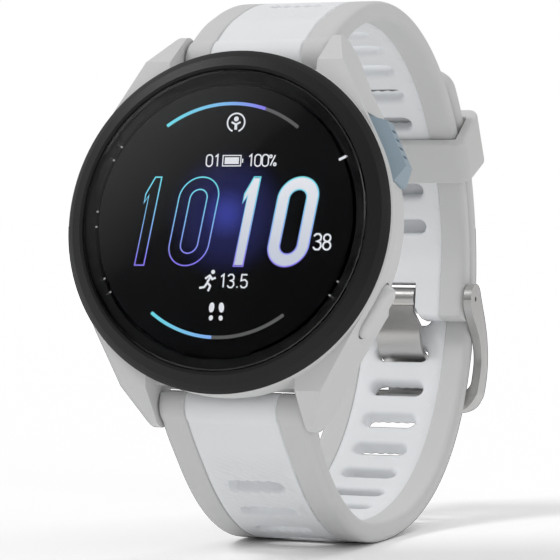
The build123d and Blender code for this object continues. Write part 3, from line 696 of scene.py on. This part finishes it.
def keeper():
    """Thick band with rounded edges, turned about the loop's middle."""
    low = LOOP_RADIUS - HALF_THICK - KEEPER_CLEAR
    high = TAIL_RADIUS + HALF_THICK + KEEPER_CLEAR
    inner_half = BAND_HALF + KEEPER_CLEAR
    corner, steps = 0.9, 10
    path = []
    centre_r = (low + high) / 2
    half_r = (high - low) / 2
    for cx, cr, start in ((1, 1, 0), (-1, 1, 90), (-1, -1, 180), (1, -1, 270)):
        for i in range(steps + 1):
            turn = radians(start + 90 * i / steps)
            bend = KEEPER_HOLE_CORNER
            point = np.array([cx * (inner_half - bend) + bend * cos(turn),
                              cr * (half_r - bend) + bend * sin(turn)])
            wall_r = KEEPER_WALLS["out" if sin(turn) > 0 else "in"]
            outward = np.array([KEEPER_WALLS["side"] * cos(turn), wall_r * sin(turn)])
            path.append((point, outward))
    section = []
    half_w = radians(KEEPER_SPAN / 2) * centre_r
    for cw, cv, start in ((1, 1, 0), (-1, 1, 90), (-1, 0, 180), (1, 0, 270)):
        radius = 0.55 if cv else 0.3
        for i in range(7):
            turn = radians(start + 15 * i)
            w = cw * (half_w - corner * radius) + corner * radius * cos(turn)
            v = (1 - radius * 0.75 if cv else radius * 0.75) + radius * 0.75 * sin(turn)
            section.append((w, v))
    points = np.zeros((len(path), len(section), 3))
    for i, (point, outward) in enumerate(path):
        for j, (w, v) in enumerate(section):
            x, r = point + outward * v
            turn = radians(KEEPER_MIDDLE) + w / centre_r
            radius = centre_r + r
            points[i, j] = (x, LOOP_Y + radius * cos(turn), LOOP_Z + radius * sin(turn))
    sheets = Sheets()
    closed = np.concatenate([points, points[:1]])
    sheets.grid(closed * MM, closed=True)
    piece = sheets.mesh("keeper_band", 50)
    finish_piece(piece, "silicone_grey", "keeper", "keeper")


# ---------------------------------------------------------------- the lit picture
DIAL = 0.39                  # height of the lit picture, between the panel and the lens
ARC_RADIUS = 14.6
ARC_WIDTH = 0.42
RUNNER = (
    [(-1.1, -7.0), (-1.6, -7.8)],
    [(-1.9, -7.35), (-1.3, -6.95), (-0.95, -7.4), (-0.5, -7.2)],
    [(-1.6, -7.8), (-1.15, -8.25), (-1.4, -8.9)],
    [(-1.55, -7.85), (-1.95, -8.4), (-2.6, -8.5)],
)


def flat_piece(name, outlines, material, height=DIAL):
    """Flat shapes on the dial; each outline is a list of (across, up) points, in millimetres."""
    body = bmesh.new()
    for outline in outlines:
        corners = [body.verts.new(case_point(x, u, height)) for x, u in outline]
        body.faces.new(corners)
    bmesh.ops.remove_doubles(body, verts=body.verts, dist=1e-7)
    for face in body.faces:
        if face.normal.dot(CASE_N) < 0:
            face.normal_flip()
    data = bpy.data.meshes.new(name)
    body.to_mesh(data)
    body.free()
    piece = bpy.data.objects.new(name, data)
    bpy.context.scene.collection.objects.link(piece)
    piece.data.materials.append(material)
    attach(piece, "case")
    return piece


def ribbon(points, width, closed=False):
    """Quads along a line, mitred at its corners."""
    pts = [Vector(p) for p in points]
    count = len(pts)
    rails = []
    for i, point in enumerate(pts):
        before = pts[i - 1] if (i or closed) else None
        after = pts[(i + 1) % count] if (i < count - 1 or closed) else None
        a = (point - before).normalized() if before is not None else None
        b = (after - point).normalized() if after is not None else None
        a = a or b
        b = b or a
        normal = Vector((-(a + b).y, (a + b).x)).normalized()
        reach = width / 2 / max(0.4, normal.dot(Vector((-a.y, a.x))))
        rails.append((point + normal * reach, point - normal * reach))
    last = count if closed else count - 1
    return [(rails[i][0], rails[i][1], rails[(i + 1) % count][1], rails[(i + 1) % count][0])
            for i in range(last)]


def arc(radius, first, last, steps=48, centre=(0, 0)):
    return [(centre[0] + radius * cos(radians(first + (last - first) * i / steps)),
             centre[1] + radius * sin(radians(first + (last - first) * i / steps)))
            for i in range(steps + 1)]


def oval(half_x, half_y, squareness=0.0, steps=40):
    """A closed outline: an ellipse, or with straight sides when squareness is the straight half."""
    points = []
    for i in range(steps):
        turn = 2 * pi * (i + 0.5) / steps
        y = half_y * sin(turn) if not squareness else (half_y - squareness) * sin(turn)
        y += squareness * (1 if sin(turn) > 0 else -1)
        points.append((half_x * cos(turn), y))
    return points


def lean(points, centre, slant=0.15, scale=1.0):
    return [(centre[0] + scale * x + slant * scale * y, centre[1] + scale * y) for x, y in points]


GLYPHS = {
    "0": [oval(0.28, 0.5, 0.22) + [oval(0.28, 0.5, 0.22)[0]]],
    "1": [[(-0.14, 0.32), (0.08, 0.5), (0.08, -0.5)]],
    "3": [[(-0.25, 0.36), (-0.1, 0.5), (0.12, 0.5), (0.25, 0.34), (0.22, 0.12), (0.0, 0.03),
           (0.22, -0.06), (0.27, -0.3), (0.12, -0.5), (-0.12, -0.5), (-0.27, -0.34)]],
    "5": [[(0.24, 0.5), (-0.2, 0.5), (-0.24, 0.04), (0.06, 0.12), (0.26, -0.06), (0.24, -0.36),
           (0.06, -0.5), (-0.16, -0.48), (-0.27, -0.32)]],
    "8": [arc(0.23, 0, 360, 20, (0, 0.25)), arc(0.26, 0, 360, 20, (0, -0.25))],
    ".": [[(-0.05, -0.46), (0.05, -0.46)]],
    "%": [arc(0.11, 0, 360, 14, (-0.2, 0.34)), arc(0.11, 0, 360, 14, (0.2, -0.34)),
          [(-0.2, -0.45), (0.2, 0.45)]],
}


def number(text, left, base, height, pitch=0.68, weight=0.12):
    quads = []
    x = left
    for mark in text:
        step = 0.42 if mark == "." else pitch
        for stroke in GLYPHS[mark]:
            points = [(x + (px + step / 2) * height, base + (py + 0.5) * height)
                      for px, py in stroke]
            quads += ribbon(points, weight * height)
        x += step * height
    return quads


def digit_one(half):
    """Outline of the large slanted one."""
    return [(-0.75, half * 0.62), (0.1, half), (0.95, half), (0.95, -half), (-0.3, -half),
            (-0.3, half * 0.58), (-0.75, half * 0.42)]


def ring_quads(outer, inner):
    count = len(outer)
    return [(outer[i], outer[(i + 1) % count], inner[(i + 1) % count], inner[i])
            for i in range(count)]


def display():
    blend = [(0.0, VIOLET), (0.5, SKY), (1.0, CYAN)]
    edge = glow("digit edge", blend, (0, -5.0), (0, 5.6), 1.0)
    face = glow("digit face", [(0.0, (0.62, 0.66, 0.75)), (1.0, WHITE)], (0, -5.0), (0, 5.6), 0.95)
    white = glow("white marks", [(0.0, WHITE), (1.0, WHITE)], (0, -12), (0, 12), 0.9)
    grey = glow("dim marks", [(0.0, GREY), (1.0, (0.12, 0.12, 0.12))], (-15, 0), (15, 0), 1.0)
    high, slant = 5.55, 0.14
    fat = oval(2.65, high, 2.9, 64)
    thin = oval(1.15, high - 1.55, 2.85, 64)
    line = 0.17
    outline = []
    filled = []
    places = ((-10.5, "1", False), (-4.0, "0", False), (2.8, "1", True), (9.2, "0", True))
    for x, digit, solid in places:
        centre = (x, -0.2)
        if digit == "1":
            shape = lean(digit_one(high), centre, slant)
            outline += ribbon(shape, line, True)
            if solid:
                filled.append(lean(digit_one(high - 0.14), centre, slant))
        else:
            outer = lean(fat, centre, slant)
            inner = lean(thin, centre, slant)
            outline += ribbon(outer, line, True) + ribbon(inner, line, True)
            if solid:
                filled += ring_quads(outer, inner)
    flat_piece("digit_outlines", outline, edge, DIAL + 0.004)
    flat_piece("digit_faces", filled, face, DIAL)
    marks = number("01", -3.0, 6.7, 1.45) + number("100%", 2.5, 6.7, 1.45)
    marks += number("38", 11.9, -3.6, 1.9, 0.66)
    marks += number("13.5", -0.1, -8.4, 1.6)
    battery = [(-0.7, 6.75), (1.7, 6.75), (1.7, 8.05), (-0.7, 8.05)]
    marks += ribbon(battery, 0.14, True)
    marks += [[(-0.45, 6.98), (1.45, 6.98), (1.45, 7.82), (-0.45, 7.82)]]
    marks += [[(1.85, 7.15), (2.02, 7.15), (2.02, 7.65), (1.85, 7.65)]]
    marks += ribbon(arc(1.15, -70, 250, 32, (0.7, 12.2)), 0.2)
    marks += [arc(0.32, 0, 342, 18, (0.7, 12.65))]
    marks += ribbon([(0.1, 12.25), (0.7, 11.95), (1.3, 12.25)], 0.24)
    marks += ribbon([(0.7, 12.1), (0.7, 11.3)], 0.36)
    marks += [arc(0.26, 0, 342, 18, (-0.9, -6.5))]
    for limb in RUNNER:
        marks += ribbon(limb, 0.27)
    for x, turn in ((-0.75, 0.06), (0.55, -0.06)):
        marks += [lean(oval(0.36, 0.62, 0, 22), (x, -10.9), turn)]
        marks += [lean(oval(0.28, 0.32, 0, 18), (x, -12.2), turn)]
    flat_piece("white_marks", marks, white)
    top = ribbon(arc(ARC_RADIUS, 126, 72), ARC_WIDTH)
    top_colour = glow("top arc", [(0, CYAN), (0.6, SKY), (1, VIOLET)], (-8.6, 0), (4.5, 0))
    flat_piece("top_arc", top, top_colour)
    low = ribbon(arc(ARC_RADIUS, 233, 268), ARC_WIDTH)
    low_colour = glow("low arc", [(0, CYAN), (1, (0.25, 0.45, 0.9))], (-8.8, 0), (-0.5, 0))
    flat_piece("low_arc", low, low_colour)
    dim = ribbon(arc(ARC_RADIUS, 72, 52, 24), ARC_WIDTH)
    dim += ribbon(arc(ARC_RADIUS, 268, 307, 32), ARC_WIDTH)
    flat_piece("dim_arcs", dim, grey)
    labels = []
    for angle in (151, 180, 209, -29):
        for offset in (-3.2, 3.2):
            spot = radians(angle + offset)
            labels += ribbon([(17.1 * cos(spot), 17.1 * sin(spot)),
                              (17.9 * cos(spot), 17.9 * sin(spot))], 0.22)
    pale = glow("pale marks", [(0.0, PALE), (1.0, PALE)], (-15, 0), (15, 0))
    flat_piece("button_marks", labels, pale)
    bar = radians(27)
    start = ribbon([(16.4 * cos(bar), 16.4 * sin(bar)), (17.9 * cos(bar), 17.9 * sin(bar))], 0.32)
    flat_piece("start_mark", start, white)


# ---------------------------------------------------------------- studio
def rectangle(name, half_across, half_along, upright=False):
    """A rectangle about its own origin, lying flat or standing up."""
    signs = ((-1, -1), (1, -1), (1, 1), (-1, 1))
    flat = [(a * half_across, b * half_along) for a, b in signs]
    corners = [(x, 0, y) if upright else (x, y, 0) for x, y in flat]
    data = bpy.data.meshes.new(name)
    data.from_pydata(corners, [], [(0, 1, 2, 3)])
    item = bpy.data.objects.new(name, data)
    bpy.context.scene.collection.objects.link(item)
    return item


def only_mirrored(item):
    """Leaves an object out of everything but reflections and refractions."""
    item.visible_camera = False
    item.visible_diffuse = False
    item.visible_shadow = False


def fading_light():
    """Light that grows along the pane's own Z, for the sheen in the lens's upper left."""
    material, nodes, links = new_material("pane")
    shader = nodes["Principled BSDF"]
    shader.inputs["Base Color"].default_value = (0.0, 0.0, 0.0, 1)
    shader.inputs["Emission Color"].default_value = (1, 1, 1, 1)
    place = nodes.new("ShaderNodeTexCoord")
    axes = nodes.new("ShaderNodeSeparateXYZ")
    fade = nodes.new("ShaderNodeMapRange")
    fade.inputs["From Min"].default_value = -0.09
    fade.inputs["From Max"].default_value = -0.01
    fade.inputs["To Max"].default_value = 0.8
    links.new(place.outputs["Object"], axes.inputs["Vector"])
    links.new(axes.outputs["Z"], fade.inputs["Value"])
    links.new(fade.outputs["Result"], shader.inputs["Emission Strength"])
    return material


def studio():
    scene = bpy.context.scene
    scene.view_settings.view_transform = "Standard"
    # the floor shows only shadows, so it has no horizon
    floor = rectangle("floor", FLOOR_HALF, FLOOR_HALF)
    floor.location.z = CAD_BOX[0][2] - 0.00005
    floor.is_shadow_catcher = True
    white = textured("floor", (0.97, 0.97, 0.97), 0.8, grain=300, bump=0.0, vary=0.0)
    floor.data.materials.append(white)
    world = bpy.data.worlds.new("studio")
    scene.world = world
    world.use_nodes = True
    nodes, links = world.node_tree.nodes, world.node_tree.links
    soft = nodes["Background"]
    soft.inputs["Strength"].default_value = WORLD_FILL
    bright = nodes.new("ShaderNodeBackground")
    bright.inputs["Strength"].default_value = 1.0
    for shade in (soft, bright):
        shade.inputs["Color"].default_value = (1, 1, 1, 1)
    seen = nodes.new("ShaderNodeLightPath")
    mix = nodes.new("ShaderNodeMixShader")
    links.new(seen.outputs["Is Camera Ray"], mix.inputs["Fac"])
    links.new(soft.outputs["Background"], mix.inputs[1])
    links.new(bright.outputs["Background"], mix.inputs[2])
    links.new(mix.outputs["Shader"], nodes["World Output"].inputs["Surface"])
    for name, place, size, power in LIGHTS:
        lamp = bpy.data.lights.new(name, "AREA")
        lamp.size = size
        lamp.energy = power
        item = bpy.data.objects.new(name, lamp)
        item.location = place
        aim = Vector((0, 0, 0.036)) - Vector(place)
        item.rotation_euler = aim.to_track_quat("-Z", "Y").to_euler()
        scene.collection.objects.link(item)
    # a black card that the lens mirrors, so that it stays dark
    card = rectangle("card", 0.5, 0.5)
    card.location = (-0.06, -0.62, 0.16)
    card.rotation_euler = (radians(72), 0, radians(-12))
    only_mirrored(card)
    card.data.materials.append(textured("card", (0.0, 0.0, 0.0), 1.0, bump=0.0, specular=0.0))
    # a grey window in front of the card, mirrored in the lens's upper left
    pane = rectangle("pane", 0.1, 0.09, upright=True)
    pane.location = (-0.27, -0.47, 0.28)
    pane.rotation_euler = (0, radians(-45), 0)
    only_mirrored(pane)
    pane.data.materials.append(fading_light())


def camera():
    lens = bpy.data.cameras.new("camera")
    lens.lens = FOCAL
    lens.sensor_width = 36
    lens.clip_start = 0.01
    item = bpy.data.objects.new("camera", lens)
    forward = CAMERA_FORWARD.normalized()
    right = CAMERA_RIGHT.normalized()
    up = right.cross(forward)
    turn = Matrix((right, up, -forward)).transposed()
    item.matrix_world = Matrix.Translation(CAMERA_AT * MM) @ turn.to_4x4()
    bpy.context.scene.collection.objects.link(item)
    bpy.context.scene.camera = item


dress_nodes()
straps()
keeper()
display()
studio()
camera()
